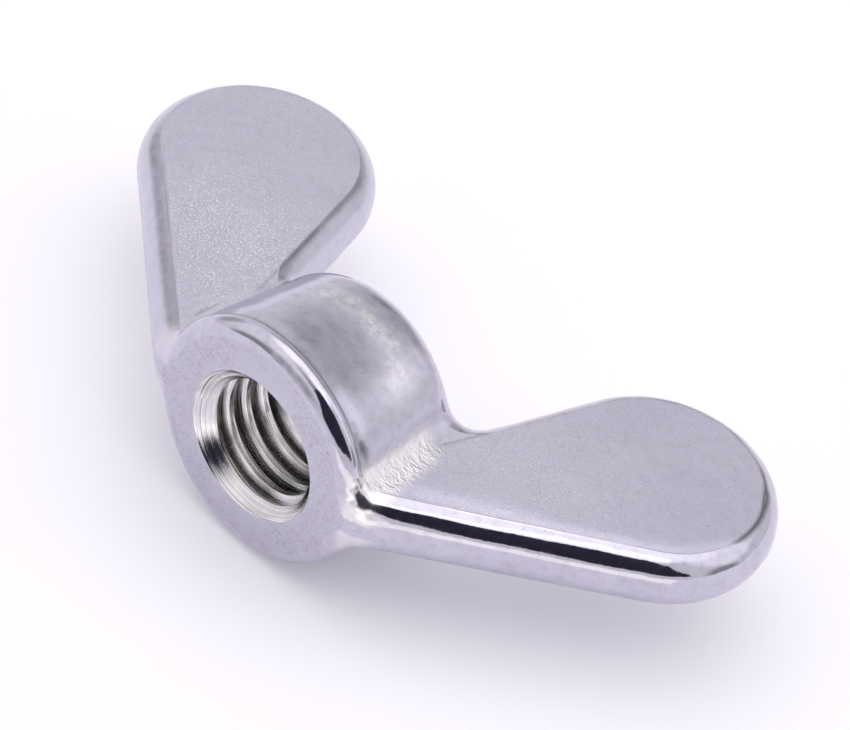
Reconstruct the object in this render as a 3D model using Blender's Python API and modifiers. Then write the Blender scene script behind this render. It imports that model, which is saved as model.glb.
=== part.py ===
"""Wing nut, M10, rounded wings, made as one piece of stainless steel.

Frame: the thread axis is the Y axis and the bearing face looks along -Y. The wings spread along X and
their thickness lies along Z. The origin is the centre of the bounding box. Sizes below are in millimetres
and every Y in them is measured from the bearing face.
"""

import math

import bmesh
import bpy

MM = 0.001

# Overall
SPAN = 53.0
HEIGHT = 26.2

# Hub, slightly conical, with a rounded edge at both ends
HUB_BASE_RADIUS = 8.7
HUB_TOP_RADIUS = 7.7
HUB_HEIGHT = 11.0
BASE_EDGE_ROUND = 1.35
TOP_EDGE_ROUND = 1.8

# Wings: a round lobe with two straight rims that run down to the hub
WING_TIP_RADIUS = 8.1
LOWER_RIM_ANGLE = math.radians(39.0)
UPPER_RIM_ANGLE = math.radians(74.0)
WING_ROOT_THICKNESS = 5.0
WING_TIP_THICKNESS = 4.4
RIM_BULGE = 0.35
RIM_FLAT = 0.5
BASE_CORNER_RADIUS = 3.0

# Fillets between wing and hub, on the wing faces and over the hub top
FILLET_RADIUS = 2.1

# Thread, ISO metric M10 x 1.5, right hand
MAJOR_RADIUS = 5.0
MINOR_RADIUS = 4.188
PITCH = 1.5
ROOT_FLAT = PITCH / 8
CREST_FLAT = PITCH / 4
COUNTERSINK_RADIUS = 5.25

# Facets
HUB_STEPS = 9
FILLET_STEPS = 6
RIM_STEPS = 3
LOBE_STEPS = 26
EDGE_STEPS = 4
THREAD_STEPS = 36

# How far the cutters run past the ends of the bore
PAST = 3.0

OBJECT_NAME = "wing_nut"
LOBE_CENTRE = (SPAN / 2 - WING_TIP_RADIUS, HEIGHT - WING_TIP_RADIUS)
LOWER_TOUCH_ANGLE = LOWER_RIM_ANGLE - math.pi / 2
UPPER_TOUCH_ANGLE = UPPER_RIM_ANGLE + math.pi / 2
THICKNESS_SLOPE = (WING_ROOT_THICKNESS - WING_TIP_THICKNESS) / SPAN


def clear_scene():
    for obj in list(bpy.data.objects):
        bpy.data.objects.remove(obj, do_unlink=True)


def collection(name, hidden):
    made = bpy.data.collections.new(name)
    bpy.context.scene.collection.children.link(made)
    made.hide_render = hidden
    return made


def stainless_steel():
    material = bpy.data.materials.new("stainless_steel")
    material.use_nodes = True
    shader = material.node_tree.nodes["Principled BSDF"]
    shader.inputs["Base Color"].default_value = (0.56, 0.55, 0.58, 1.0)
    shader.inputs["Metallic"].default_value = 1.0
    shader.inputs["Roughness"].default_value = 0.32
    return material


def direction(angle):
    return (math.cos(angle), math.sin(angle))


def moved(point, angle, distance):
    return (point[0] + distance * math.cos(angle), point[1] + distance * math.sin(angle))


def blend(first, second, share):
    return first + (second - first) * share


def hub_radius(y):
    return blend(HUB_BASE_RADIUS, HUB_TOP_RADIUS, y / HUB_HEIGHT)


# ---- Front view: the outline of the nut seen along Z ----


def lobe_point(angle):
    return moved(LOBE_CENTRE, angle, WING_TIP_RADIUS)


def lower_edge(x):
    """Height of the underside at x, near the hub, and the direction from there into the metal."""
    touch = lobe_point(LOWER_TOUCH_ANGLE)
    corner = touch[0] - touch[1] / math.tan(LOWER_RIM_ANGLE)
    start = corner - BASE_CORNER_RADIUS * math.tan(LOWER_RIM_ANGLE / 2)
    end = start + BASE_CORNER_RADIUS * math.sin(LOWER_RIM_ANGLE)
    if x <= start:
        return 0.0, math.pi / 2
    if x >= end:
        return (x - corner) * math.tan(LOWER_RIM_ANGLE), math.pi / 2 + LOWER_RIM_ANGLE
    turn = math.asin((x - start) / BASE_CORNER_RADIUS)
    return BASE_CORNER_RADIUS * (1 - math.cos(turn)), math.pi / 2 + turn


def upper_edge(x):
    """Height of the hub top and of the wing's upper rim at x, and the direction from there into the metal."""
    touch = lobe_point(UPPER_TOUCH_ANGLE)
    corner = touch[0] - (touch[1] - HUB_HEIGHT) / math.tan(UPPER_RIM_ANGLE)
    start = corner - FILLET_RADIUS * math.tan(UPPER_RIM_ANGLE / 2)
    end = start + FILLET_RADIUS * math.sin(UPPER_RIM_ANGLE)
    if x <= start:
        return HUB_HEIGHT, -math.pi / 2
    if x >= end:
        height = HUB_HEIGHT + (x - corner) * math.tan(UPPER_RIM_ANGLE)
        return height, UPPER_RIM_ANGLE - math.pi / 2
    turn = math.asin((x - start) / FILLET_RADIUS)
    return HUB_HEIGHT + FILLET_RADIUS * (1 - math.cos(turn)), turn - math.pi / 2


# ---- Plan view: hub side, fillet and wing face seen along Y ----


def plan_fillet(y):
    """Centre of the fillet arc at this height, and the angle at which it touches the hub."""
    tilt = math.atan(THICKNESS_SLOPE)
    offset = WING_ROOT_THICKNESS / 2 * math.cos(tilt) + FILLET_RADIUS
    along = math.sqrt((hub_radius(y) + FILLET_RADIUS) ** 2 - offset**2)
    centre = (
        offset * math.sin(tilt) + along * math.cos(tilt),
        offset * math.cos(tilt) - along * math.sin(tilt),
    )
    return centre, math.atan2(centre[1], centre[0])


def half_thickness(x, y):
    """Distance of the outer surface from the middle plane at this place of the front view."""
    centre, turn = plan_fillet(y)
    tilt = math.atan(THICKNESS_SLOPE)
    if x <= hub_radius(y) * math.cos(turn):
        return math.sqrt(hub_radius(y) ** 2 - x**2)
    if x >= centre[0] - FILLET_RADIUS * math.sin(tilt):
        return WING_ROOT_THICKNESS / 2 - THICKNESS_SLOPE * x
    return centre[1] - math.sqrt(FILLET_RADIUS**2 - (x - centre[0]) ** 2)


def plan_places(y):
    """(x, outward direction, share of the way to the wing) along the hub side and the fillet."""
    centre, turn = plan_fillet(y)
    tilt = math.atan(THICKNESS_SLOPE)
    places = []
    for i in range(HUB_STEPS):
        angle = blend(math.pi / 2, turn, i / HUB_STEPS)
        places.append((hub_radius(y) * math.cos(angle), angle, 0.0))
    for i in range(FILLET_STEPS + 1):
        share = i / FILLET_STEPS
        angle = blend(turn, math.pi / 2 - tilt, share)
        places.append((centre[0] - FILLET_RADIUS * math.cos(angle), angle, share))
    return places


# ---- Rounded edges ----


def rounded(wall, corner, face, weight):
    """Points from the wall to the face, round the corner; the weight sets how full the round is."""
    points = []
    for i in range(EDGE_STEPS + 1):
        t = i / EDGE_STEPS
        shares = ((1 - t) ** 2, 2 * weight * t * (1 - t), t**2)
        total = sum(shares)
        point = []
        for k in range(3):
            point.append((shares[0] * wall[k] + shares[1] * corner[k] + shares[2] * face[k]) / total)
        points.append(tuple(point))
    return points


def rim_shape(thickness):
    """Inset of the wing face from the rim, height of the round's corner, and its weight."""
    radius = thickness + RIM_BULGE
    opening = math.asin(thickness / radius)
    return radius * (1 - math.cos(opening)), radius * math.tan(opening / 2), math.cos(opening / 2)


def rim_station(place, inward):
    """Rounded rim of the wing at one place of the front outline."""
    thickness = half_thickness(*place)
    inset, corner_height, weight = rim_shape(thickness)
    face = moved(place, inward, inset)
    return rounded(
        (*place, RIM_FLAT / 2), (*place, corner_height), (*face, half_thickness(*face)), weight
    )


def hub_station(x, outward, share, edge, edge_round):
    """Rounded edge of the hub, turning into the rim of the wing as share goes from 0 to 1."""
    y, inward = edge(x)
    thickness = half_thickness(x, y)
    inset, corner_height, weight = rim_shape(WING_ROOT_THICKNESS / 2 - THICKNESS_SLOPE * x)
    wall_width = blend(edge_round, thickness - RIM_FLAT / 2, share)
    wall_x, wall_z = moved((x, thickness), outward, -wall_width)
    face = moved((x, y), inward, blend(edge_round, inset, share))
    return rounded(
        (wall_x, edge(wall_x)[0], max(wall_z, RIM_FLAT / 2)),
        (x, y, blend(thickness, corner_height, share)),
        (*face, half_thickness(*face)),
        blend(math.cos(math.pi / 4), weight, share),
    )


def hub_stations(height, edge, edge_round):
    return [hub_station(x, out, share, edge, edge_round) for x, out, share in plan_places(height)]


def straight_rim(edge, start, end):
    """Stations along a straight rim, without its ends."""
    stations = []
    for i in range(1, RIM_STEPS + 1):
        x = blend(start, end, i / (RIM_STEPS + 1))
        y, inward = edge(x)
        stations.append(rim_station((x, y), inward))
    return stations


def lobe_stations():
    stations = []
    for i in range(LOBE_STEPS + 1):
        angle = blend(LOWER_TOUCH_ANGLE, UPPER_TOUCH_ANGLE, i / LOBE_STEPS)
        stations.append(rim_station(lobe_point(angle), angle + math.pi))
    return stations


# ---- Solids ----


def mesh_object(name, vertices, faces, where):
    mesh = bpy.data.meshes.new(name)
    mesh.from_pydata([[value * MM for value in vertex] for vertex in vertices], [], faces)
    bm = bmesh.new()
    bm.from_mesh(mesh)
    bmesh.ops.recalc_face_normals(bm, faces=bm.faces)
    bm.to_mesh(mesh)
    bm.free()
    obj = bpy.data.objects.new(name, mesh)
    where.objects.link(obj)
    return obj


def quarter_skin(name, where):
    """The outer skin for X and Z above 0: rounded edge, wall beside it, and hub side with wing face."""
    lower = hub_stations(0.0, lower_edge, BASE_EDGE_ROUND)
    upper = hub_stations(HUB_HEIGHT, upper_edge, TOP_EDGE_ROUND)
    lower_start = plan_places(0.0)[-1][0]
    upper_start = plan_places(HUB_HEIGHT)[-1][0]
    lower += straight_rim(lower_edge, lower_start, lobe_point(LOWER_TOUCH_ANGLE)[0])
    upper += straight_rim(upper_edge, upper_start, lobe_point(UPPER_TOUCH_ANGLE)[0])
    stations = lower + lobe_stations() + upper[::-1]
    row = EDGE_STEPS + 2
    vertices = []
    for station in stations:
        x, y, _ = station[0]
        vertices.append((x, y - HEIGHT / 2, 0.0))
        vertices.extend((px, py - HEIGHT / 2, pz) for px, py, pz in station)
    faces = []
    for i in range(len(stations) - 1):
        for k in range(row - 1):
            first = i * row + k
            faces.append((first, first + 1, first + row + 1, first + row))
    inner = [i * row + row - 1 for i in range(len(stations))]
    paired = len(lower) - 1
    for i in range(paired):
        faces.append((inner[i], inner[i + 1], inner[-i - 2], inner[-i - 1]))
    faces.append(tuple(inner[paired:len(inner) - paired]))
    return mesh_object(name, vertices, faces, where)


def thread_form():
    """One pitch of the internal thread, from crest to crest, as radius and distance along the bore."""
    flank = (PITCH - ROOT_FLAT - CREST_FLAT) / 2
    return [
        (MINOR_RADIUS, 0.0),
        (MINOR_RADIUS, CREST_FLAT),
        (MAJOR_RADIUS, CREST_FLAT + flank),
        (MAJOR_RADIUS, CREST_FLAT + flank + ROOT_FLAT),
        (MINOR_RADIUS, PITCH),
    ]


def swept_thread(where):
    """The thread form swept as a screw, past both ends of the hub."""
    form = thread_form()
    mesh = bpy.data.meshes.new("swept_thread")
    vertices = [(r * MM, (y - PAST - HEIGHT / 2) * MM, 0.0) for r, y in form]
    mesh.from_pydata(vertices, [(i, i + 1) for i in range(len(form) - 1)], [])
    obj = bpy.data.objects.new("swept_thread", mesh)
    where.objects.link(obj)
    screw = obj.modifiers.new("turns", "SCREW")
    screw.axis = "Y"
    screw.screw_offset = PITCH * MM
    screw.iterations = math.ceil((HUB_HEIGHT + 2 * PAST) / PITCH)
    screw.steps = THREAD_STEPS
    screw.render_steps = THREAD_STEPS
    return obj


def thread_cutter(where):
    """The swept thread with its turns welded and both ends closed to a point on the axis."""
    swept = swept_thread(where)
    graph = bpy.context.evaluated_depsgraph_get()
    mesh = bpy.data.meshes.new_from_object(swept.evaluated_get(graph))
    bpy.data.objects.remove(swept, do_unlink=True)
    bm = bmesh.new()
    bm.from_mesh(mesh)
    bmesh.ops.remove_doubles(bm, verts=bm.verts, dist=0.001 * MM)
    open_edges = [edge for edge in bm.edges if edge.is_boundary]
    middle = (HUB_HEIGHT / 2 - HEIGHT / 2) * MM
    for side in (-1, 1):
        rim = [edge for edge in open_edges if (edge.verts[0].co.y - middle) * side > 0]
        furthest = max(vertex.co.y * side for edge in rim for vertex in edge.verts)
        tip = bm.verts.new((0.0, (furthest + MM) * side, 0.0))
        for edge in rim:
            bm.faces.new((edge.verts[0], edge.verts[1], tip))
    bmesh.ops.recalc_face_normals(bm, faces=bm.faces)
    bm.to_mesh(mesh)
    bm.free()
    obj = bpy.data.objects.new("thread_cutter", mesh)
    where.objects.link(obj)
    return obj


def countersink_cutter(name, face_y, side, where):
    """A 90 degree cone opening outwards at one end of the bore."""
    wide = COUNTERSINK_RADIUS + PAST
    points = 2 * THREAD_STEPS
    vertices = []
    for i in range(points):
        x, z = direction(2 * math.pi * i / points)
        vertices.append((wide * x, face_y + side * PAST - HEIGHT / 2, wide * z))
    vertices.append((0.0, face_y - side * COUNTERSINK_RADIUS - HEIGHT / 2, 0.0))
    faces = [tuple(range(points))]
    for i in range(points):
        faces.append((i, (i + 1) % points, points))
    return mesh_object(name, vertices, faces, where)


def cut(obj, cutter):
    cutter.hide_render = True
    cutter.display_type = "WIRE"
    modifier = obj.modifiers.new(cutter.name, "BOOLEAN")
    modifier.operation = "DIFFERENCE"
    modifier.solver = "EXACT"
    modifier.object = cutter


def wing_nut(parts, cutters):
    """The whole nut: mirrored skin, threaded bore, and a countersink at both ends of it."""
    nut = quarter_skin(OBJECT_NAME, parts)
    nut.data.materials.append(stainless_steel())
    mirror = nut.modifiers.new("halves", "MIRROR")
    mirror.use_axis = (True, False, True)
    mirror.use_mirror_merge = True
    mirror.merge_threshold = 0.001 * MM
    cut(nut, thread_cutter(cutters))
    cut(nut, countersink_cutter("base_countersink", 0.0, -1, cutters))
    cut(nut, countersink_cutter("top_countersink", HUB_HEIGHT, 1, cutters))
    return nut


def main():
    clear_scene()
    parts = collection("wing_nut", hidden=False)
    cutters = collection("cutters", hidden=True)
    wing_nut(parts, cutters)


main()
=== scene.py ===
"""Wing nut, M10, in stainless steel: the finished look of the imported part, on a plain studio table.

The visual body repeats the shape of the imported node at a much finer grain, with its real threads, creases
and rounded rims. The nut's sizes are in millimetres, and every Y in the shape functions is measured from
the bearing face. The stage and the camera are in metres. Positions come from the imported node's own box.
"""

import math

import bmesh
import bpy
import numpy as np
from mathutils import Matrix, Vector, noise


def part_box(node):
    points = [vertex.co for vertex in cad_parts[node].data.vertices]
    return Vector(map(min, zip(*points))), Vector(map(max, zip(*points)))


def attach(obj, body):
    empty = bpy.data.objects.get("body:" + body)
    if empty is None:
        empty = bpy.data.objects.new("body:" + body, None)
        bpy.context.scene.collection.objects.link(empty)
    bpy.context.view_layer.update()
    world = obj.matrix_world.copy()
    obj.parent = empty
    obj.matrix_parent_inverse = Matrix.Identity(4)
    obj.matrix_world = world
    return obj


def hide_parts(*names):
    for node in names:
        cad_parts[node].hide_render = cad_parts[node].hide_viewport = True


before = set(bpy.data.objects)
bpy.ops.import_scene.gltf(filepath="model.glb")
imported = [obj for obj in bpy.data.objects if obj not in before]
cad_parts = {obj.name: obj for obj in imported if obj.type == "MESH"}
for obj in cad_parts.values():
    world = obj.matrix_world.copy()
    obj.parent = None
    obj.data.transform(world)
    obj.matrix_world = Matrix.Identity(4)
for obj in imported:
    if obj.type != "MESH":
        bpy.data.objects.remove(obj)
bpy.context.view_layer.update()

MM = 0.001
NODE = "wing_nut"
LOW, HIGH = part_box(NODE)

# Overall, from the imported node
SPAN = round((HIGH[0] - LOW[0]) / MM, 1)
HEIGHT = round((HIGH[1] - LOW[1]) / MM, 1)
BEARING_Y = LOW[1] / MM

# Hub
HUB_BASE_RADIUS = 8.7
HUB_TOP_RADIUS = 7.7
HUB_HEIGHT = 11.0
BASE_EDGE_ROUND = 1.35
TOP_EDGE_ROUND = 1.8

# Wings
WING_TIP_RADIUS = 8.1
LOWER_RIM_ANGLE = math.radians(39.0)
UPPER_RIM_ANGLE = math.radians(74.0)
WING_ROOT_THICKNESS = 5.0
WING_TIP_THICKNESS = 4.4
RIM_BULGE = 0.35
BASE_CORNER_RADIUS = 3.0
FILLET_RADIUS = 2.1
RIM_FULLNESS = 1.2

# Below this height the skin is the flat bearing face, and inside this radius it is off the hub's side
FLAT_BELOW = 0.02
HUB_INNER = 7.0

# Creases: inset from the rim on the wings, height round the foot of the hub, and the rows of the mesh
# beside them, as distances from the edge rounding
CREASE_INSET = 1.28
HUB_CREASE_HEIGHT = 1.45
CREASE_ROWS = (0.05, 0.11, 0.19, 0.30, 0.46)
CREASE_DEPTH = 0.06
HUB_CREASE_DEPTH = 0.08

# Bead and trough round the foot of the hub, swollen and nicked root of the +X wing's lower rim, and what
# wear takes off that rim beside the hub and further out
BEAD_HEIGHT = 0.07
TROUGH_DEPTH = 0.12
SWELLING_HEIGHT = 0.11
NICK_HEIGHT = 0.045
WEAR_DEPTHS = (0.16, 0.085)

# Sink marks in the hub side: the angle of the first one from +X towards +Z, its twin being opposite, and
# the height, half width round the hub, half width up it and depth of each
SINK_ANGLE = math.radians(76.0)
SINK_MARK = (4.6, 4.6, 3.0, 0.23)
TWIN_MARK = (6.0, 3.9, 2.8, 0.14)

# Painted highlight on the rim of the first sink mark: how far it is turned past the mark, its height, and
# its half widths
PAINTED_HIGHLIGHT_RING = (0.07, 4.3, 4.6, 3.4)

# Middle of the painted glints on each wing face: distance from the bore's axis, height
GLINT_PLACE = (13.6, 10.0)

# Thread, M10 x 1.5, right hand
MAJOR_RADIUS = 5.0
MINOR_RADIUS = 4.188
PITCH = 1.5
ROOT_FLAT = PITCH / 8
CREST_FLAT = PITCH / 4
COUNTERSINK_RADIUS = 5.25
THREAD_EDGE_ROUND = 0.06
CUTTER_PAST = 3.0

# Mesh fineness
HUB_STEPS = 44
FILLET_STEPS = 24
RIM_STEPS = 38
LOBE_STEPS = 64
EDGE_STEPS = 15
FACE_STEPS = 46
WALL_STEPS = 3
THREAD_STEPS = 120
CONE_RINGS = 22
SHARP_ANGLE = math.radians(38.0)

# Camera: azimuth and elevation of the line of sight and roll about it in degrees, distance, target, lens
CAMERA_AZIMUTH = 34.7
CAMERA_ELEVATION = 42.6
CAMERA_ROLL = 14.3
CAMERA_DISTANCE = 0.247
CAMERA_TARGET = Vector((0.00124, 0.00148, 0.0))
CAMERA_LENS = 161.4

# Studio dome: its radiance, then its soft patches as azimuth, elevation and radius in degrees, and change
DOME_RADIANCE = 0.87
DOME_PATCHES = (
    (0, 90, 42, 0.72),
    (186, 31, 28, -0.31),
    (210, 23, 18, -0.20),
    (270, 16, 17, -0.37),
    (106, 2, 18, -0.50),
    (322, 3, 20, -0.50),
    (290, 46, 42, 0.22),
    (122, 38, 28, 0.40),
    (50, 62, 17, 0.55),
    (12, 58, 20, -0.40),
    (345, 34, 22, 0.22),
)

# Dark doorway behind the camera: azimuth, and the elevations of its foot and its head there, in degrees
DOORWAY = (
    (13, 6, 40),
    (20, 4, 54),
    (32, 4, 58),
    (40, 5, 54),
    (46, 5, 52),
    (54, 6, 49),
    (60, 6, 43),
    (70, 6, 26),
    (80, 8, 11),
)
DOORWAY_DISTANCE = 0.6
DOORWAY_STEPS = 8

# White card over the table, glowing as a painted light as well as lit: azimuths of its ends in degrees,
# its nearest and furthest reach, and its height over the lowest place of the nut
REFLECTOR_AZIMUTHS = (18, 76)
REFLECTOR_REACH = (0.048, 0.13)
REFLECTOR_STEPS = 12
REFLECTOR_LIFT = 0.3 * MM

# Table, and how far under the nut it lies
TABLE_RADIUS = 1.6
TABLE_GAP = 0.03 * MM

LOBE_CENTRE = (SPAN / 2 - WING_TIP_RADIUS, HEIGHT - WING_TIP_RADIUS)
LOWER_TOUCH_ANGLE = LOWER_RIM_ANGLE - math.pi / 2
UPPER_TOUCH_ANGLE = UPPER_RIM_ANGLE + math.pi / 2
THICKNESS_SLOPE = (WING_ROOT_THICKNESS - WING_TIP_THICKNESS) / SPAN


# ---- Outline and thickness ----


def moved(point, angle, distance):
    return (point[0] + distance * math.cos(angle), point[1] + distance * math.sin(angle))


def blend(first, second, share):
    return first + (second - first) * share


def smooth_step(low, high, value):
    share = min(max((value - low) / (high - low), 0.0), 1.0)
    return share * share * (3 - 2 * share)


def between(value, low, full, fade, high):
    """1 from full to fade, falling smoothly to 0 at low and at high."""
    return smooth_step(low, full, value) * (1 - smooth_step(fade, high, value))


def hump(value, middle, reach):
    """1 at the middle, falling smoothly to nearly 0 at twice the reach from it."""
    return math.exp(-(((value - middle) / reach) ** 2))


def hub_radius(y):
    return blend(HUB_BASE_RADIUS, HUB_TOP_RADIUS, y / HUB_HEIGHT)


def lobe_point(angle):
    return moved(LOBE_CENTRE, angle, WING_TIP_RADIUS)


def lower_edge(x):
    """Height of the underside at x, near the hub, and the direction from there into the metal."""
    touch = lobe_point(LOWER_TOUCH_ANGLE)
    corner = touch[0] - touch[1] / math.tan(LOWER_RIM_ANGLE)
    start = corner - BASE_CORNER_RADIUS * math.tan(LOWER_RIM_ANGLE / 2)
    end = start + BASE_CORNER_RADIUS * math.sin(LOWER_RIM_ANGLE)
    if x <= start:
        return 0.0, math.pi / 2
    if x >= end:
        return (x - corner) * math.tan(LOWER_RIM_ANGLE), math.pi / 2 + LOWER_RIM_ANGLE
    turn = math.asin((x - start) / BASE_CORNER_RADIUS)
    return BASE_CORNER_RADIUS * (1 - math.cos(turn)), math.pi / 2 + turn


def upper_edge(x):
    """Height of the hub top and the wing's upper rim at x, and the direction from there into the metal."""
    touch = lobe_point(UPPER_TOUCH_ANGLE)
    corner = touch[0] - (touch[1] - HUB_HEIGHT) / math.tan(UPPER_RIM_ANGLE)
    start = corner - FILLET_RADIUS * math.tan(UPPER_RIM_ANGLE / 2)
    end = start + FILLET_RADIUS * math.sin(UPPER_RIM_ANGLE)
    if x <= start:
        return HUB_HEIGHT, -math.pi / 2
    if x >= end:
        height = HUB_HEIGHT + (x - corner) * math.tan(UPPER_RIM_ANGLE)
        return height, UPPER_RIM_ANGLE - math.pi / 2
    turn = math.asin((x - start) / FILLET_RADIUS)
    return HUB_HEIGHT + FILLET_RADIUS * (1 - math.cos(turn)), turn - math.pi / 2


def plan_fillet(y):
    """Centre of the fillet arc at this height, and the angle at which it touches the hub."""
    tilt = math.atan(THICKNESS_SLOPE)
    offset = WING_ROOT_THICKNESS / 2 * math.cos(tilt) + FILLET_RADIUS
    along = math.sqrt((hub_radius(y) + FILLET_RADIUS) ** 2 - offset**2)
    centre = (
        offset * math.sin(tilt) + along * math.cos(tilt),
        offset * math.cos(tilt) - along * math.sin(tilt),
    )
    return centre, math.atan2(centre[1], centre[0])


def wing_half_thickness(x):
    return WING_ROOT_THICKNESS / 2 - THICKNESS_SLOPE * x


def half_thickness(x, y):
    """Distance of the outer surface from the middle plane at this place of the front view."""
    centre, turn = plan_fillet(y)
    if x <= hub_radius(y) * math.cos(turn):
        return math.sqrt(max(hub_radius(y) ** 2 - x**2, 0.0))
    if x >= centre[0] - FILLET_RADIUS * math.sin(math.atan(THICKNESS_SLOPE)):
        return wing_half_thickness(x)
    return centre[1] - math.sqrt(FILLET_RADIUS**2 - (x - centre[0]) ** 2)


def plan_places(y):
    """(x, outward direction, share of the way to the wing) along the hub side and the fillet."""
    centre, turn = plan_fillet(y)
    places = []
    for i in range(HUB_STEPS):
        angle = blend(math.pi / 2, turn, i / HUB_STEPS)
        places.append((hub_radius(y) * math.cos(angle), angle, 0.0))
    for i in range(FILLET_STEPS + 1):
        share = i / FILLET_STEPS
        angle = blend(turn, math.pi / 2 - math.atan(THICKNESS_SLOPE), share)
        places.append((centre[0] - FILLET_RADIUS * math.cos(angle), angle, share))
    return places


# ---- Half sections of the skin: from the middle plane, round the edge, to the face ----

EDGE_SHARES = [i / EDGE_STEPS for i in range(EDGE_STEPS)] + [0.972, 1.0]


def rounded(wall, corner, face, weight):
    """Wall line, rounded edge and the start of the face, as (point, polish)."""
    points = []
    for i in range(WALL_STEPS):
        share = i / WALL_STEPS
        points.append(((wall[0], wall[1], wall[2] * share), 0.0))
    for t in EDGE_SHARES:
        shares = ((1 - t) ** 2, 2 * weight * t * (1 - t), t**2)
        total = sum(shares)
        point = tuple(
            (shares[0] * wall[k] + shares[1] * corner[k] + shares[2] * face[k]) / total for k in range(3)
        )
        points.append((point, 1.0))
    return points


def rim_shape(thickness):
    """Inset of the wing face from the rim, height of the round's corner, and its weight."""
    radius = thickness + RIM_BULGE
    opening = math.asin(thickness / radius)
    weight = RIM_FULLNESS * math.cos(opening / 2)
    return radius * (1 - math.cos(opening)), radius * math.tan(opening / 2), weight


def rim_section(place, inward):
    """Full round of the wing's rim at one place of the front outline."""
    thickness = half_thickness(*place)
    inset, corner_height, weight = rim_shape(thickness)
    face = moved(place, inward, inset)
    return rounded((*place, 0.0), (*place, corner_height), (*face, half_thickness(*face)), weight)


def hub_section(x, outward, share, edge, edge_round):
    """Rounded edge of the hub, turning into the rim of the wing as share goes from 0 to 1."""
    y, inward = edge(x)
    thickness = half_thickness(x, y)
    inset, corner_height, weight = rim_shape(wing_half_thickness(x))
    soft = smooth_step(0.0, 1.0, share)
    wall_width = blend(edge_round, thickness, soft)
    wall_x, wall_z = moved((x, thickness), outward, -wall_width)
    face = moved((x, y), inward, blend(edge_round, inset, soft))
    return rounded(
        (wall_x, edge(wall_x)[0], max(wall_z, 0.0)),
        (x, y, blend(thickness, corner_height, soft)),
        (*face, half_thickness(*face)),
        blend(math.cos(math.pi / 4), weight, soft),
    )


def chain(height, edge, edge_round, touch_angle):
    """Half sections along one edge of the nut: from the middle of the hub to the tip of the wing."""
    sections = [hub_section(x, out, share, edge, edge_round) for x, out, share in plan_places(height)]
    start = plan_places(height)[-1][0]
    end = lobe_point(touch_angle)[0]
    for i in range(1, RIM_STEPS):
        x = blend(start, end, i / RIM_STEPS)
        y, inward = edge(x)
        sections.append(rim_section((x, y), inward))
    tip_angle = (LOWER_TOUCH_ANGLE + UPPER_TOUCH_ANGLE) / 2
    for i in range(LOBE_STEPS + 1):
        angle = blend(touch_angle, tip_angle, i / LOBE_STEPS)
        sections.append(rim_section(lobe_point(angle), angle + math.pi))
    return sections


def face_line(first, last):
    """Points across the hub side or the wing face, close together beside the crease at each end."""
    length = max(math.dist(first[:2], last[:2]), 1e-6)
    near = [offset * min(1.0, length / 3.0) / length for offset in CREASE_ROWS]
    shares = near + [blend(near[-1], 1 - near[-1], i / FACE_STEPS) for i in range(1, FACE_STEPS)]
    shares += [1 - share for share in reversed(near)]
    points = []
    for share in shares:
        x = blend(first[0], last[0], share)
        y = blend(first[1], last[1], share)
        points.append(((x, y, half_thickness(x, y)), 0.0))
    return points


def quarter_grid():
    """Rows of (point, polish) from the bearing face over the outer face to the hub top, X and Z above 0."""
    lower = chain(0.0, lower_edge, BASE_EDGE_ROUND, LOWER_TOUCH_ANGLE)
    upper = chain(HUB_HEIGHT, upper_edge, TOP_EDGE_ROUND, UPPER_TOUCH_ANGLE)
    rows = []
    for low, high in zip(lower, upper):
        rows.append(low + face_line(low[-1][0], high[-1][0]) + high[::-1])
    return rows


# ---- Skin object ----


def skin_arrays():
    """Vertices, quads and polish of the whole outer skin, mirrored from one quarter."""
    rows = quarter_grid()
    points = np.array([[point for point, _ in row] for row in rows])
    polish = np.array([[value for _, value in row] for row in rows])
    points[..., 1] += BEARING_Y
    count, width = polish.shape
    index = np.arange(count * width).reshape(count, width)
    quads = np.stack([index[:-1, :-1], index[1:, :-1], index[1:, 1:], index[:-1, 1:]], -1).reshape(-1, 4)
    all_points = []
    all_quads = []
    for side in (1, -1):
        for face in (1, -1):
            turned = quads if side * face > 0 else quads[:, ::-1]
            all_quads.append(turned + len(all_points) * count * width)
            all_points.append(points.reshape(-1, 3) * np.array([side, 1, face]))
    return np.concatenate(all_points), np.concatenate(all_quads), np.tile(polish.reshape(-1), 4)


# ---- Surface relief ----


def wave(point, size, seed):
    """Smooth noise between about -1 and 1 with features of the given size in millimetres."""
    place = Vector(point) / size + Vector((seed * 17.3, seed * -9.1, seed * 5.7))
    return noise.noise(place)


def fillet_share(x, y):
    """1 in the fillet between hub and wing, 0 elsewhere."""
    centre, turn = plan_fillet(max(min(y, HUB_HEIGHT), 0.0))
    start = hub_radius(y) * math.cos(turn)
    across = between(x, start - 0.3, start + 0.4, centre[0] - 0.4, centre[0] + 0.6)
    return across * (1 - smooth_step(6.6, 8.6, y))


def hub_share(x, y):
    """1 on the hub side, falling to 0 across the fillet."""
    start = hub_radius(y) * math.cos(plan_fillet(max(min(y, HUB_HEIGHT), 0.0))[1])
    return 1 - smooth_step(start - 0.6, start + 1.4, x)


def lobe_angle(x, y):
    """Angle about the centre of the wing's lobe, counted from the side of the bearing face."""
    angle = math.atan2(y - LOBE_CENTRE[1], x - LOBE_CENTRE[0])
    return angle + 2 * math.pi if angle < LOWER_TOUCH_ANGLE - math.pi / 2 else angle


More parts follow.
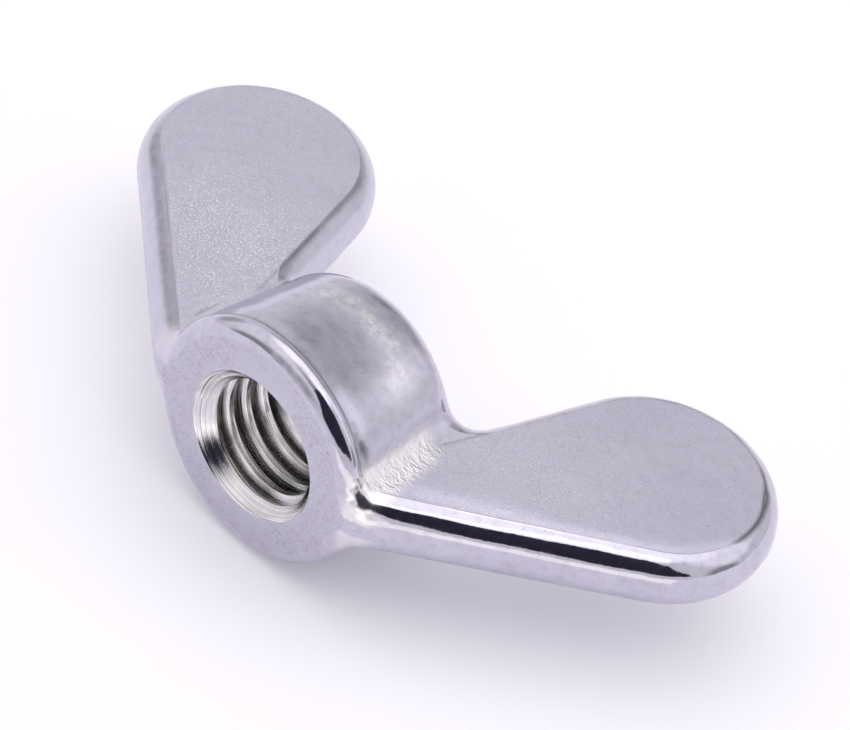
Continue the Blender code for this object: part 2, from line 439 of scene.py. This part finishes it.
def crease_distance(x, y):
    """Distance in the front view from the line where the edge rounding meets the wing face."""
    if LOWER_TOUCH_ANGLE <= lobe_angle(x, y) <= UPPER_TOUCH_ANGLE:
        reach = math.hypot(x - LOBE_CENTRE[0], y - LOBE_CENTRE[1])
        return abs(WING_TIP_RADIUS - reach - CREASE_INSET)
    low, low_inward = lower_edge(x)
    high, high_inward = upper_edge(x)
    below = abs((y - low) * math.sin(low_inward) - CREASE_INSET)
    if high == HUB_HEIGHT:
        return below
    return min(below, abs((high - y) * -math.sin(high_inward) - CREASE_INSET))


def crease_strength(place, hub):
    """How sharply the crease is cut, and how dark its painted shade is: clear on the hub and on +X,
    faint low down and round the tip on -X.
    """
    x, y = abs(place.x), place.y - BEARING_Y
    angle = lobe_angle(x, y)
    low, high = LOWER_TOUCH_ANGLE, UPPER_TOUCH_ANGLE
    on_lobe = between(angle, low - 0.1, low + 0.5, high - 0.6, high - 0.1)
    if place.x > 0:
        strength = 0.36 + 0.6 * hump(angle, 0.4, 0.45)
    else:
        below = 1 - smooth_step(1.5, 3.5, y - lower_edge(x)[0])
        strength = blend(blend(0.6, 0.25, below), 0.12, on_lobe)
    return blend(strength, 0.55, hub) + 0.35 * wave(place, 3.5, 7)


def sink_depth(place, angle, mark):
    """Depth of a shallow hollow in the hub side, as a casting has over its thickest metal."""
    height, half_width, half_height, depth = mark
    turn = math.atan2(place.z, place.x) - angle
    turn = math.atan2(math.sin(turn), math.cos(turn))
    off = math.hypot(turn * HUB_BASE_RADIUS / half_width, (place.y - BEARING_Y - height) / half_height)
    return depth * math.exp(-(off**3.4))


def painted_highlight_ring(place):
    """Painted highlight on the rim of the first sink mark, from its +X side over its top, from 0 to 1."""
    past, height, half_width, half_height = PAINTED_HIGHLIGHT_RING
    turn = math.atan2(place.z, place.x)
    across = (SINK_ANGLE + past - turn) * HUB_BASE_RADIUS / half_width
    up = (place.y - BEARING_Y - height) / half_height
    off = (across**4 + up**4) ** 0.25 + 0.10 * wave(place, 1.8, 9)
    towards = math.atan2(up, across)
    share = between(towards, 0.0, 0.8, 2.3, 2.9)
    patchy = 0.75 + 0.6 * wave(place, 0.9, 10)
    return hump(off, 1.0, 0.24) * share * min(max(patchy, 0.0), 1.0)


def cast_waves(place, polish, fillet, hub):
    """Unevenness of the cast skin, and the wrinkled metal in the fillets."""
    broad = 0.030 * wave(place, 5.0, 1) + 0.016 * wave(place, 2.2, 2)
    close = 0.009 * wave(place, 0.9, 3)
    height = (broad + close) * (0.5 + 0.7 * max(polish, 0.7 * hub))
    return height + (0.028 * wave(place, 0.8, 4) + 0.022 * wave(place, 0.45, 5)) * fillet * (1 - polish)


def rim_wear(place, gap, inner):
    """Share by which the crease below the +X wing is worn away, and the height that the wear takes off."""
    low = lower_edge(abs(place.x))[0]
    wear_and_highlight = smooth_step(8.0, 11.0, place.x) * (1 - smooth_step(3.0, 5.0, place.y - BEARING_Y - low))
    outwards = smooth_step(13.0, 19.0, place.x)
    spread = blend(0.85, 0.45, outwards) if inner > CREASE_INSET else 0.36
    return wear_and_highlight, blend(*WEAR_DEPTHS, outwards) * wear_and_highlight * hump(gap, 0.0, spread)


def root_swelling(place, inner):
    """Swollen and nicked metal where the lower rim of the +X wing meets the hub."""
    swelling = SWELLING_HEIGHT * hump(place.z, 2.0, 0.5) * between(place.x, 8.2, 9.4, 9.5, 15.0)
    nicks = NICK_HEIGHT * wave(place, 0.4, 11) * (place.z > 0) * between(place.x, 7.4, 8.4, 9.8, 11.4)
    return (swelling + nicks) * (1 - smooth_step(1.0, 2.2, inner))


def root_line(place):
    """Thin line up the root of the -X wing, cut in and darkened with painted shade."""
    if place.x >= 0:
        return 0.0
    line = hump(-place.x + 0.12 * wave(place, 1.5, 8), 9.12, 0.10)
    return 0.7 * line * between(place.y - BEARING_Y, 2.2, 3.0, 4.6, 6.0)


def foot_cut(place, turn):
    """Short ragged cut beside the root of the +X wing, just above the foot of the hub.
    It is darkened with painted shade.
    """
    depth = 0.60 + 0.6 * wave(place, 0.5, 12)
    return hump(place.y - BEARING_Y, 1.75, 0.28) * hump(turn, 0.60, 0.24) * depth


def edge_line(place, turn):
    """Line of painted shade along the edge of the bearing face, on the +X side of its top, also cut in
    slightly.
    """
    window = between(turn, 0.95, 1.2, 1.4, 1.75)
    return hump(place.y - BEARING_Y, 0.20, 0.10) * window * (0.62 + 0.5 * wave(place, 0.6, 13))


def groove_and_shade_share(place, hub, gap, wear_and_highlight):
    """How deep in a crease or a cut line this place lies, from 0 to 1; the same share darkens it with
    painted shade.
    """
    turn = math.atan2(place.z, place.x)
    strength = max(min(crease_strength(place, hub) * (1 - wear_and_highlight), 1.0), 0.0)
    crease = hump(gap + 0.10 * wave(place, 1.6, 6), 0.0, blend(0.12, 0.17, hub)) * strength
    return max(crease, root_line(place), foot_cut(place, turn), edge_line(place, turn) * hub)


def hub_relief(place):
    """Bead and trough round the foot of the hub, and its two sink marks."""
    y = place.y - BEARING_Y
    trough = hump(y, HUB_CREASE_HEIGHT, 0.75 if y > HUB_CREASE_HEIGHT else 0.36) * (y > 0.3)
    bead = hump(y, 1.0, 0.45) * (y > FLAT_BELOW) * smooth_step(-6.0, -2.0, place.z)
    sunk = sink_depth(place, SINK_ANGLE, SINK_MARK) + sink_depth(place, SINK_ANGLE + math.pi, TWIN_MARK)
    return BEAD_HEIGHT * bead - TROUGH_DEPTH * trough - sunk


def relief(place, polish, fillet, hub):
    """Height of the cast surface over the drawn shape, and how deep in a crease it lies, from 0 to 1.
    The depth share also sets how dark the painted shade in the creases is.
    """
    x, y = abs(place.x), place.y - BEARING_Y
    low, low_inward = lower_edge(x)
    inner = (y - low) * math.sin(low_inward)
    gap = blend(crease_distance(x, y), abs(y - HUB_CREASE_HEIGHT), hub)
    wear_and_highlight, lost = rim_wear(place, gap, inner)
    groove_and_shade = groove_and_shade_share(place, hub, gap, wear_and_highlight)
    height = cast_waves(place, polish, fillet, hub) + root_swelling(place, inner)
    height -= lost + blend(CREASE_DEPTH, HUB_CREASE_DEPTH, hub) * groove_and_shade
    return height + hub_relief(place) * hub, groove_and_shade


def roughened(bm, layers):
    """Moves the skin by its relief, apart from the bearing face, and stores what the material reads."""
    bm.normal_update()
    moves = []
    for vertex in bm.verts:
        place = vertex.co / MM
        x, y = abs(place.x), place.y - BEARING_Y
        off_middle = abs(place.z) > 0.6
        wrinkled = blend(0.35, 1.0, smooth_step(-1.0, 1.0, place.x))
        fillet = fillet_share(x, y) * off_middle * wrinkled
        on_side = math.hypot(place.x, place.z) > HUB_INNER
        hub = hub_share(x, y) * on_side
        polish = vertex[layers["polish"]]
        height, groove_and_shade = relief(place, polish, fillet, hub)
        flat = y < FLAT_BELOW
        tumbled = blend(0.55, 1.0, smooth_step(-10.0, -5.0, place.x))
        vertex[layers["polish"]] = 0.4 if flat else max(polish * tumbled, 0.7 * hub)
        # Share of the painted highlight on the rim of the first sink mark
        vertex[layers["painted_highlight"]] = painted_highlight_ring(place) * hub if place.z > 0 else 0.0
        vertex[layers["bearing"]] = 1.0 if flat else 0.0
        vertex[layers["fillet"]] = fillet
        # Groove share, which also sets the painted shade in the creases
        vertex[layers["groove_and_shade"]] = groove_and_shade
        moves.append(vertex.normal * height * MM * (1 - flat))
    for vertex, move in zip(bm.verts, moves):
        vertex.co += move


def skin_object():
    points, quads, polish = skin_arrays()
    mesh = bpy.data.meshes.new("nut_body")
    mesh.from_pydata((points * MM).tolist(), [], quads.tolist())
    bm = bmesh.new()
    bm.from_mesh(mesh)
    bm.verts.ensure_lookup_table()
    names = ("polish", "fillet", "groove_and_shade", "bearing", "painted_highlight")
    for name in names:
        bm.verts.layers.float.new(name)
    layers = {name: bm.verts.layers.float[name] for name in names}
    for vertex, value in zip(bm.verts, polish):
        vertex[layers["polish"]] = value
    bmesh.ops.remove_doubles(bm, verts=bm.verts, dist=0.0005 * MM)
    bmesh.ops.dissolve_degenerate(bm, edges=bm.edges, dist=0.0002 * MM)
    bmesh.ops.recalc_face_normals(bm, faces=bm.faces)
    roughened(bm, layers)
    bm.to_mesh(mesh)
    bm.free()
    obj = bpy.data.objects.new("nut_body", mesh)
    bpy.context.scene.collection.objects.link(obj)
    return obj


# ---- Bore ----


def thread_form():
    """One pitch of the internal thread as (radius, distance), with a rounded root and broken crest edges."""
    flank = (PITCH - ROOT_FLAT - CREST_FLAT) / 2
    soft = THREAD_EDGE_ROUND
    rise = (MAJOR_RADIUS - MINOR_RADIUS) / flank
    return [
        (MINOR_RADIUS, 0.0),
        (MINOR_RADIUS, CREST_FLAT / 2),
        (MINOR_RADIUS, CREST_FLAT - soft),
        (MINOR_RADIUS + soft * rise * 0.35, CREST_FLAT + soft * 0.5),
        (blend(MINOR_RADIUS, MAJOR_RADIUS, 0.5), CREST_FLAT + flank * 0.5),
        (MAJOR_RADIUS - soft * rise * 0.4, CREST_FLAT + flank - soft * 0.6),
        (MAJOR_RADIUS, CREST_FLAT + flank + ROOT_FLAT * 0.3),
        (MAJOR_RADIUS, CREST_FLAT + flank + ROOT_FLAT * 0.7),
        (MAJOR_RADIUS - soft * rise * 0.4, CREST_FLAT + flank + ROOT_FLAT + soft * 0.6),
        (blend(MINOR_RADIUS, MAJOR_RADIUS, 0.5), PITCH - flank * 0.5),
        (MINOR_RADIUS + soft * rise * 0.35, PITCH - soft * 0.5),
        (MINOR_RADIUS, PITCH + soft),
    ]


def thread_cutter():
    """A tap that runs past both ends of the hub, closed to a point at each end."""
    form = thread_form()[:-1]
    turns = math.ceil((HUB_HEIGHT + 2 * CUTTER_PAST) / PITCH)
    line = []
    for turn in range(turns):
        line.extend((radius, turn * PITCH + along) for radius, along in form)
    line.append((MINOR_RADIUS, turns * PITCH))
    vertices = []
    for step in range(THREAD_STEPS):
        angle = 2 * math.pi * step / THREAD_STEPS
        drop = PITCH * step / THREAD_STEPS
        for radius, along in line:
            y = along - drop - CUTTER_PAST + BEARING_Y
            vertices.append((radius * math.cos(angle), y, radius * math.sin(angle)))
    return cutter_object("thread_cutter", vertices, screw_faces(len(line), len(form)))


def screw_faces(width, per_turn):
    """Quads between neighbouring lines of a screw; the last line meets the first one turn further on."""
    faces = []
    for step in range(THREAD_STEPS):
        last = step == THREAD_STEPS - 1
        shift = per_turn if last else 0
        after = 0 if last else (step + 1) * width
        for i in range(width - 1 - shift):
            here = step * width + i + shift
            there = after + i
            faces.append((here, there, there + 1, here + 1))
    return faces


def close_ends(bm):
    """Closes the open ends of a swept shape to points on the bore's axis."""
    open_edges = [edge for edge in bm.edges if edge.is_boundary]
    middle = sum(vertex.co.y for vertex in bm.verts) / len(bm.verts)
    for side in (-1, 1):
        rim = [edge for edge in open_edges if (edge.verts[0].co.y - middle) * side > 0]
        furthest = max(vertex.co.y * side for edge in rim for vertex in edge.verts)
        tip = bm.verts.new((0.0, (furthest + MM) * side, 0.0))
        for edge in rim:
            bm.faces.new((edge.verts[0], edge.verts[1], tip))


def cutter_object(name, vertices, faces):
    """Closed object that faces outwards, from the open surface of a swept shape."""
    mesh = bpy.data.meshes.new(name)
    mesh.from_pydata([[value * MM for value in vertex] for vertex in vertices], [], faces)
    bm = bmesh.new()
    bm.from_mesh(mesh)
    bmesh.ops.remove_doubles(bm, verts=bm.verts, dist=0.0001 * MM)
    close_ends(bm)
    bmesh.ops.recalc_face_normals(bm, faces=bm.faces)
    bm.to_mesh(mesh)
    bm.free()
    obj = bpy.data.objects.new(name, mesh)
    bpy.context.scene.collection.objects.link(obj)
    return obj


def countersink_cutter(name, face_y, side):
    """A 90 degree cone opening outwards at one end of the bore, with the fine rings that its tool left."""
    vertices = []
    for ring in range(CONE_RINGS + 1):
        radius = blend(MINOR_RADIUS - 0.4, COUNTERSINK_RADIUS + 0.3, ring / CONE_RINGS)
        depth = COUNTERSINK_RADIUS - radius + 0.045 * noise.noise(Vector((ring * 0.73, face_y, 3.1)))
        for i in range(THREAD_STEPS):
            angle = 2 * math.pi * i / THREAD_STEPS
            vertices.append(
                (radius * math.cos(angle), face_y - side * depth + BEARING_Y, radius * math.sin(angle))
            )
    faces = []
    for ring in range(CONE_RINGS):
        for i in range(THREAD_STEPS):
            j = (i + 1) % THREAD_STEPS
            low, high = ring * THREAD_STEPS, (ring + 1) * THREAD_STEPS
            faces.append((low + i, low + j, high + j, high + i))
    return cutter_object(name, vertices, faces)


def cut(obj, cutters):
    """Subtracts the cutters; the cut surfaces keep the cutters' material."""
    for cutter in cutters:
        modifier = obj.modifiers.new(cutter.name, "BOOLEAN")
        modifier.operation = "DIFFERENCE"
        modifier.solver = "EXACT"
        modifier.material_mode = "TRANSFER"
        modifier.object = cutter
    graph = bpy.context.evaluated_depsgraph_get()
    mesh = bpy.data.meshes.new_from_object(obj.evaluated_get(graph))
    obj.modifiers.clear()
    obj.data = mesh
    for cutter in cutters:
        bpy.data.objects.remove(cutter, do_unlink=True)


# ---- Materials ----


class Nodes:
    """Short helper for building a material's node tree."""

    def __init__(self, name):
        self.material = bpy.data.materials.new(name)
        self.material.use_nodes = True
        self.tree = self.material.node_tree
        self.shader = self.tree.nodes["Principled BSDF"]

    def add(self, kind, inputs=None, **settings):
        node = self.tree.nodes.new(kind)
        for name, value in settings.items():
            setattr(node, name, value)
        for name, value in (inputs or {}).items():
            self.feed(node, name, value)
        return node

    def feed(self, node, name, value):
        if isinstance(value, bpy.types.NodeSocket):
            self.tree.links.new(value, node.inputs[name])
        else:
            node.inputs[name].default_value = value

    def place(self):
        return self.add("ShaderNodeTexCoord").outputs["Object"]

    def attribute(self, name):
        return self.add("ShaderNodeAttribute", attribute_name=name).outputs["Fac"]

    def grain(self, size_mm, detail=2.0, roughness=0.5, place=None):
        inputs = {
            "Vector": place or self.place(),
            "Scale": 1000.0 / size_mm,
            "Detail": detail,
            "Roughness": roughness,
        }
        return self.add("ShaderNodeTexNoise", inputs).outputs["Fac"]

    def ranged(self, value, from_low, from_high, to_low, to_high):
        inputs = {
            "Value": value,
            "From Min": from_low,
            "From Max": from_high,
            "To Min": to_low,
            "To Max": to_high,
        }
        return self.add("ShaderNodeMapRange", inputs).outputs["Result"]

    def math(self, operation, first, second):
        return self.add("ShaderNodeMath", {0: first, 1: second}, operation=operation).outputs[0]

    def mixed(self, share, first, second):
        inputs = {"Factor": share, 2: first, 3: second}
        return self.add("ShaderNodeMix", inputs, data_type="FLOAT").outputs[0]

    def mixed_colour(self, share, first, second):
        inputs = {"Factor": share, 6: first, 7: second}
        return self.add("ShaderNodeMix", inputs, data_type="RGBA").outputs[2]

    def bump(self, height, strength, distance_mm, normal=None):
        inputs = {"Height": height, "Strength": strength, "Distance": distance_mm * MM}
        if normal is not None:
            inputs["Normal"] = normal
        return self.add("ShaderNodeBump", inputs).outputs["Normal"]


def cast_skin():
    """Blasted and tumbled cast surface: matte faces with grain and painted glints, polished rims, crinkled
    fillets with a painted highlight.
    """
    nodes = Nodes("cast_skin")
    polish = nodes.attribute("polish")
    fillet = nodes.attribute("fillet")
    fine = nodes.grain(0.16, 3.0, 0.65)
    medium = nodes.grain(0.7, 3.0, 0.6)

    colour = steel_colour(nodes, polish, medium)
    colour = marked_colour(nodes, colour)
    colour = glinted_colour(nodes, colour, polish)
    # Painted highlight: the crinkled fillets are paled towards near white
    painted_highlight = nodes.math("MULTIPLY", fillet, 0.7)
    nodes.feed(nodes.shader, "Base Color", nodes.mixed_colour(painted_highlight, colour, (0.86, 0.845, 0.84, 1.0)))
    nodes.feed(nodes.shader, "Metallic", 1.0)

    matte = nodes.ranged(fine, 0.3, 0.7, 0.36, 0.48)
    shiny = nodes.ranged(medium, 0.3, 0.7, 0.04, 0.12)
    rough = nodes.mixed(polish, matte, shiny)
    rough = nodes.mixed(nodes.math("MULTIPLY", fillet, 0.6), rough, 0.26)
    nodes.feed(nodes.shader, "Roughness", rough)
    nodes.feed(nodes.shader, "Normal", skin_normal(nodes, polish, fillet, fine, medium))
    return nodes.material


def steel_colour(nodes, polish, medium):
    """Lilac-grey steel, mottled and pitted."""
    tone = nodes.ranged(nodes.grain(5.0, 3.0, 0.55), 0.3, 0.7, 0.0, 1.0)
    colour = nodes.mixed_colour(tone, (0.555, 0.537, 0.634, 1.0), (0.588, 0.570, 0.662, 1.0))
    most = nodes.ranged(polish, 0.0, 1.0, 0.10, 0.26)
    mottle = nodes.math("MULTIPLY", nodes.ranged(medium, 0.30, 0.55, 1.0, 0.0), most)
    colour = nodes.mixed_colour(mottle, colour, (0.30, 0.27, 0.30, 1.0))
    pits = nodes.ranged(nodes.grain(0.22, 1.0, 0.5), 0.25, 0.31, 0.30, 0.0)
    return nodes.mixed_colour(pits, colour, (0.22, 0.20, 0.21, 1.0))


def marked_colour(nodes, colour):
    """The colour with a speckled bearing face, painted shade in the creases and a painted highlight on the
    rim of the sink mark.
    """
    speckle = nodes.ranged(nodes.grain(0.14, 2.0, 0.6), 0.34, 0.44, 0.50, 0.10)
    speckle = nodes.math("MULTIPLY", speckle, nodes.attribute("bearing"))
    colour = nodes.mixed_colour(speckle, colour, (0.26, 0.24, 0.27, 1.0))
    # Painted shade: creases, cut lines and the edge line of the bearing face are darkened towards near black
    dark = nodes.math("MULTIPLY", nodes.attribute("groove_and_shade"), 0.85)
    colour = nodes.mixed_colour(dark, colour, (0.12, 0.11, 0.13, 1.0))
    # Painted highlight: the rim of the first sink mark is paled towards near white, in broken patches
    broken = nodes.ranged(nodes.grain(0.55, 3.0, 0.7), 0.40, 0.60, 0.15, 0.70)
    wear_and_highlight = nodes.math("MULTIPLY", nodes.attribute("painted_highlight"), broken)
    return nodes.mixed_colour(wear_and_highlight, colour, (0.90, 0.89, 0.86, 1.0))


def glinted_colour(nodes, colour, polish):
    """The colour with painted glints on the matte wing faces, most of them near the hub and on the -X wing.
    """
    parts = nodes.add("ShaderNodeSeparateXYZ", {"Vector": nodes.place()})
    side = nodes.math("SUBTRACT", nodes.math("ABSOLUTE", parts.outputs["X"], 0.0), GLINT_PLACE[0] * MM)
    rise = nodes.math("SUBTRACT", parts.outputs["Y"], (GLINT_PLACE[1] + BEARING_Y) * MM)
    away = nodes.add("ShaderNodeCombineXYZ", {"X": side, "Y": rise})
    reach = nodes.add("ShaderNodeVectorMath", {0: away.outputs[0]}, operation="LENGTH").outputs["Value"]
    share = nodes.ranged(reach, 1.5 * MM, 8.5 * MM, 1.0, 0.22)
    share = nodes.math("MULTIPLY", share, nodes.ranged(parts.outputs["X"], -4 * MM, 4 * MM, 1.0, 0.40))
    share = nodes.math("MULTIPLY", share, nodes.ranged(polish, 0.0, 0.3, 1.0, 0.0))
    # Painted glints: small near-white spots on the matte faces
    glint = nodes.ranged(nodes.grain(0.13, 2.0, 0.7), 0.55, 0.64, 0.0, 0.9)
    return nodes.mixed_colour(nodes.math("MULTIPLY", glint, share), colour, (1.0, 0.985, 1.0, 1.0))


def skin_normal(nodes, polish, fillet, fine, medium):
    """Blasted grain on the matte faces, crinkles in the fillets, and shallow pits all over."""
    grain_height = nodes.math("MULTIPLY", fine, nodes.ranged(polish, 0.0, 1.0, 1.0, 0.05))
    grained = nodes.bump(grain_height, 0.6, 0.024)
    squeeze = {0: nodes.place(), 1: (1.0, 1.5, 1.0)}
    squeezed = nodes.add("ShaderNodeVectorMath", squeeze, operation="MULTIPLY").outputs[0]
    loose = nodes.math("MULTIPLY", fillet, nodes.math("SUBTRACT", 1.0, polish))
    crinkle_height = nodes.math("MULTIPLY", nodes.grain(0.5, 3.0, 0.65, squeezed), loose)
    crinkled = nodes.bump(crinkle_height, 1.0, 0.16, grained)
    pit_height = nodes.math("MULTIPLY", medium, nodes.ranged(polish, 0.0, 1.0, 0.4, 0.25))
    return nodes.bump(pit_height, 0.5, 0.05, crinkled)


def machined_bore():
    """Tapped thread and turned countersinks: bright crests with marks running round the axis, and roots
    darkened with painted shade.
    """
    nodes = Nodes("machined_bore")
    parts = nodes.add("ShaderNodeSeparateXYZ", {"Vector": nodes.place()})
    across = nodes.add("ShaderNodeCombineXYZ", {"X": parts.outputs["X"], "Y": parts.outputs["Z"]})
    radius = nodes.add("ShaderNodeVectorMath", {0: across.outputs[0]}, operation="LENGTH").outputs["Value"]
    turn = nodes.math("ARCTAN2", parts.outputs["Z"], parts.outputs["X"])
    drop = nodes.math("MULTIPLY", turn, PITCH * MM / (2 * math.pi))
    along = nodes.math("ADD", parts.outputs["Y"], drop)
    along = nodes.math("ADD", along, nodes.math("MULTIPLY", radius, -0.35))
    bend = nodes.math("MULTIPLY", nodes.grain(3.0, 1.0, 0.5), 0.12 * MM)
    line = nodes.add("ShaderNodeCombineXYZ", {"X": nodes.math("ADD", along, bend)})
    rings = nodes.grain(0.11, 4.0, 0.75, line.outputs[0])
    smear = nodes.grain(1.3, 2.0, 0.5)

    # Painted shade: the thread roots are darkened towards dark brown, beyond about a millimetre from the
    # bearing face
    depth = nodes.math("ADD", radius, nodes.math("MULTIPLY", nodes.grain(0.5, 2.0, 0.6), 0.3 * MM))
    inside = nodes.ranged(parts.outputs["Y"], (BEARING_Y + 0.9) * MM, (BEARING_Y + 1.2) * MM, 0.0, 1.0)
    root = nodes.math("MULTIPLY", nodes.ranged(depth, 4.5 * MM, MAJOR_RADIUS * MM, 0.0, 0.82), inside)
    marks = nodes.ranged(rings, 0.34, 0.54, 0.0, 1.0)
    patchy = nodes.ranged(smear, 0.35, 0.65, 0.0, 1.0)
    clean = nodes.mixed_colour(patchy, (0.74, 0.73, 0.74, 1.0), (0.92, 0.91, 0.90, 1.0))
    bright = nodes.mixed_colour(marks, (0.22, 0.21, 0.22, 1.0), clean)
    nodes.feed(nodes.shader, "Base Color", nodes.mixed_colour(root, bright, (0.19, 0.175, 0.155, 1.0)))
    nodes.feed(nodes.shader, "Metallic", 1.0)
    nodes.feed(nodes.shader, "Roughness", nodes.ranged(smear, 0.3, 0.7, 0.06, 0.14))
    nodes.feed(nodes.shader, "Normal", nodes.bump(rings, 0.6, 0.025))
    return nodes.material


def table_top():
    nodes = Nodes("table_top")
    sheen = nodes.grain(40.0, 2.0, 0.5)
    nodes.feed(nodes.shader, "Base Color", (0.86, 0.85, 0.88, 1.0))
    nodes.feed(nodes.shader, "Emission Color", (0.93, 0.90, 1.0, 1.0))
    nodes.feed(nodes.shader, "Emission Strength", 0.17)
    nodes.feed(nodes.shader, "Roughness", nodes.ranged(sheen, 0.0, 1.0, 0.6, 0.7))
    nodes.feed(nodes.shader, "Specular IOR Level", 0.2)
    return nodes.material


def glowing_white_card():
    nodes = Nodes("glowing_white_card")
    weave = nodes.grain(3.0, 2.0, 0.5)
    colour = nodes.mixed_colour(weave, (0.88, 0.86, 0.84, 1.0), (0.92, 0.90, 0.87, 1.0))
    nodes.feed(nodes.shader, "Base Color", colour)
    nodes.feed(nodes.shader, "Roughness", 0.9)
    nodes.feed(nodes.shader, "Specular IOR Level", 0.1)
    # Painted light: the card glows by itself, as well as being lit
    nodes.feed(nodes.shader, "Emission Color", (1.0, 0.97, 0.90, 1.0))
    nodes.feed(nodes.shader, "Emission Strength", 0.55)
    return nodes.material


def dark_cloth():
    nodes = Nodes("dark_cloth")
    weave = nodes.grain(3.0, 2.0, 0.5)
    colour = nodes.mixed_colour(weave, (0.036, 0.034, 0.054, 1.0), (0.048, 0.045, 0.070, 1.0))
    nodes.feed(nodes.shader, "Base Color", colour)
    nodes.feed(nodes.shader, "Roughness", 0.9)
    nodes.feed(nodes.shader, "Specular IOR Level", 0.1)
    return nodes.material


# ---- Stage ----


def direction(azimuth, elevation):
    """Unit vector towards an azimuth, 0 being the side of the bearing face and 90 the side of +X."""
    az = math.radians(azimuth)
    el = math.radians(elevation)
    return Vector((math.sin(az) * math.cos(el), -math.cos(az) * math.cos(el), math.sin(el)))


def table():
    place = (0.0, 0.0, LOW[2] - TABLE_GAP)
    bpy.ops.mesh.primitive_circle_add(vertices=96, radius=TABLE_RADIUS, fill_type="NGON", location=place)
    floor = bpy.context.object
    floor.name = "table"
    floor.data.materials.append(table_top())


def stage_grid(name, corners, height, material):
    """Stage object from columns of corners, each column height corners long."""
    faces = []
    for low in range(len(corners) - height):
        if (low + 1) % height:
            faces.append((low, low + height, low + height + 1, low + 1))
    mesh = bpy.data.meshes.new(name)
    mesh.from_pydata(corners, [], faces)
    mesh.materials.append(material)
    obj = bpy.data.objects.new(name, mesh)
    bpy.context.scene.collection.objects.link(obj)


def doorway():
    """Dark opening in the studio tent, on the side that the camera looks in from."""
    corners = []
    for azimuth, foot, head in DOORWAY:
        for step in range(DOORWAY_STEPS + 1):
            elevation = blend(foot, head, step / DOORWAY_STEPS)
            corners.append(direction(azimuth, elevation) * DOORWAY_DISTANCE)
    stage_grid("dark_doorway", corners, DOORWAY_STEPS + 1, dark_cloth())


def glowing_reflector():
    """White card just over the table in front of the nut, below the dark doorway, glowing as a painted
    light.
    """
    low, high = REFLECTOR_AZIMUTHS
    corners = []
    for step in range(REFLECTOR_STEPS + 1):
        away = direction(blend(low, high, step / REFLECTOR_STEPS), 0.0)
        for distance in REFLECTOR_REACH:
            corners.append(away * distance + Vector((0.0, 0.0, LOW[2] + REFLECTOR_LIFT)))
    stage_grid("glowing_reflector", corners, len(REFLECTOR_REACH), glowing_white_card())


def dome():
    """White surroundings with soft brighter and darker patches, as a studio tent has."""
    world = bpy.data.worlds.new("studio")
    world.use_nodes = True
    tree = world.node_tree
    background = tree.nodes["Background"]
    background.inputs["Color"].default_value = (0.985, 0.965, 1.0, 1.0)
    place = tree.nodes.new("ShaderNodeTexCoord").outputs["Generated"]
    strength = None
    for patch in DOME_PATCHES:
        total = tree.nodes.new("ShaderNodeMath")
        total.inputs[0].default_value = DOME_RADIANCE
        if strength:
            tree.links.new(strength, total.inputs[0])
        tree.links.new(dome_patch(tree, place, patch), total.inputs[1])
        strength = total.outputs[0]
    tree.links.new(strength, background.inputs["Strength"])
    bpy.context.scene.world = world


def dome_patch(tree, place, patch):
    """Radiance that one round, soft-edged patch adds or takes away, full over its inner part."""
    azimuth, elevation, radius, change = patch
    along = tree.nodes.new("ShaderNodeVectorMath")
    along.operation = "DOT_PRODUCT"
    tree.links.new(place, along.inputs[0])
    along.inputs[1].default_value = direction(azimuth, elevation)
    shade = tree.nodes.new("ShaderNodeMapRange")
    shade.interpolation_type = "SMOOTHSTEP"
    tree.links.new(along.outputs["Value"], shade.inputs["Value"])
    shade.inputs["From Min"].default_value = math.cos(math.radians(radius))
    shade.inputs["From Max"].default_value = blend(shade.inputs["From Min"].default_value, 1.0, 0.8)
    shade.inputs["To Min"].default_value = 0.0
    shade.inputs["To Max"].default_value = change
    return shade.outputs["Result"]


def camera():
    lens = bpy.data.cameras.new("camera")
    lens.lens = CAMERA_LENS
    lens.sensor_width = 36.0
    lens.sensor_fit = "HORIZONTAL"
    lens.clip_start = 0.01
    lens.clip_end = 5.0
    obj = bpy.data.objects.new("camera", lens)
    bpy.context.scene.collection.objects.link(obj)
    back = direction(CAMERA_AZIMUTH, CAMERA_ELEVATION)
    right = direction(CAMERA_AZIMUTH + 90.0, 0.0)
    up = back.cross(right)
    roll = math.radians(CAMERA_ROLL)
    turned_right = right * math.cos(roll) + up * math.sin(roll)
    turned_up = up * math.cos(roll) - right * math.sin(roll)
    axes = Matrix((turned_right, turned_up, back)).transposed()
    obj.matrix_world = Matrix.Translation(CAMERA_TARGET + back * CAMERA_DISTANCE) @ axes.to_4x4()
    bpy.context.scene.camera = obj


# ---- Scene ----


def nut():
    body = skin_object()
    body.data.materials.append(cast_skin())
    bore = machined_bore()
    cutters = [
        thread_cutter(),
        countersink_cutter("base_cone", 0.0, -1),
        countersink_cutter("top_cone", HUB_HEIGHT, 1),
    ]
    for cutter in cutters:
        cutter.data.materials.append(bore)
    cut(body, cutters)
    body.data.shade_smooth()
    body.data.set_sharp_from_angle(angle=SHARP_ANGLE)
    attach(body, "root")
    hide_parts(NODE)


camera()
nut()
table()
doorway()
glowing_reflector()
dome()
bpy.context.scene.view_settings.view_transform = "Standard"
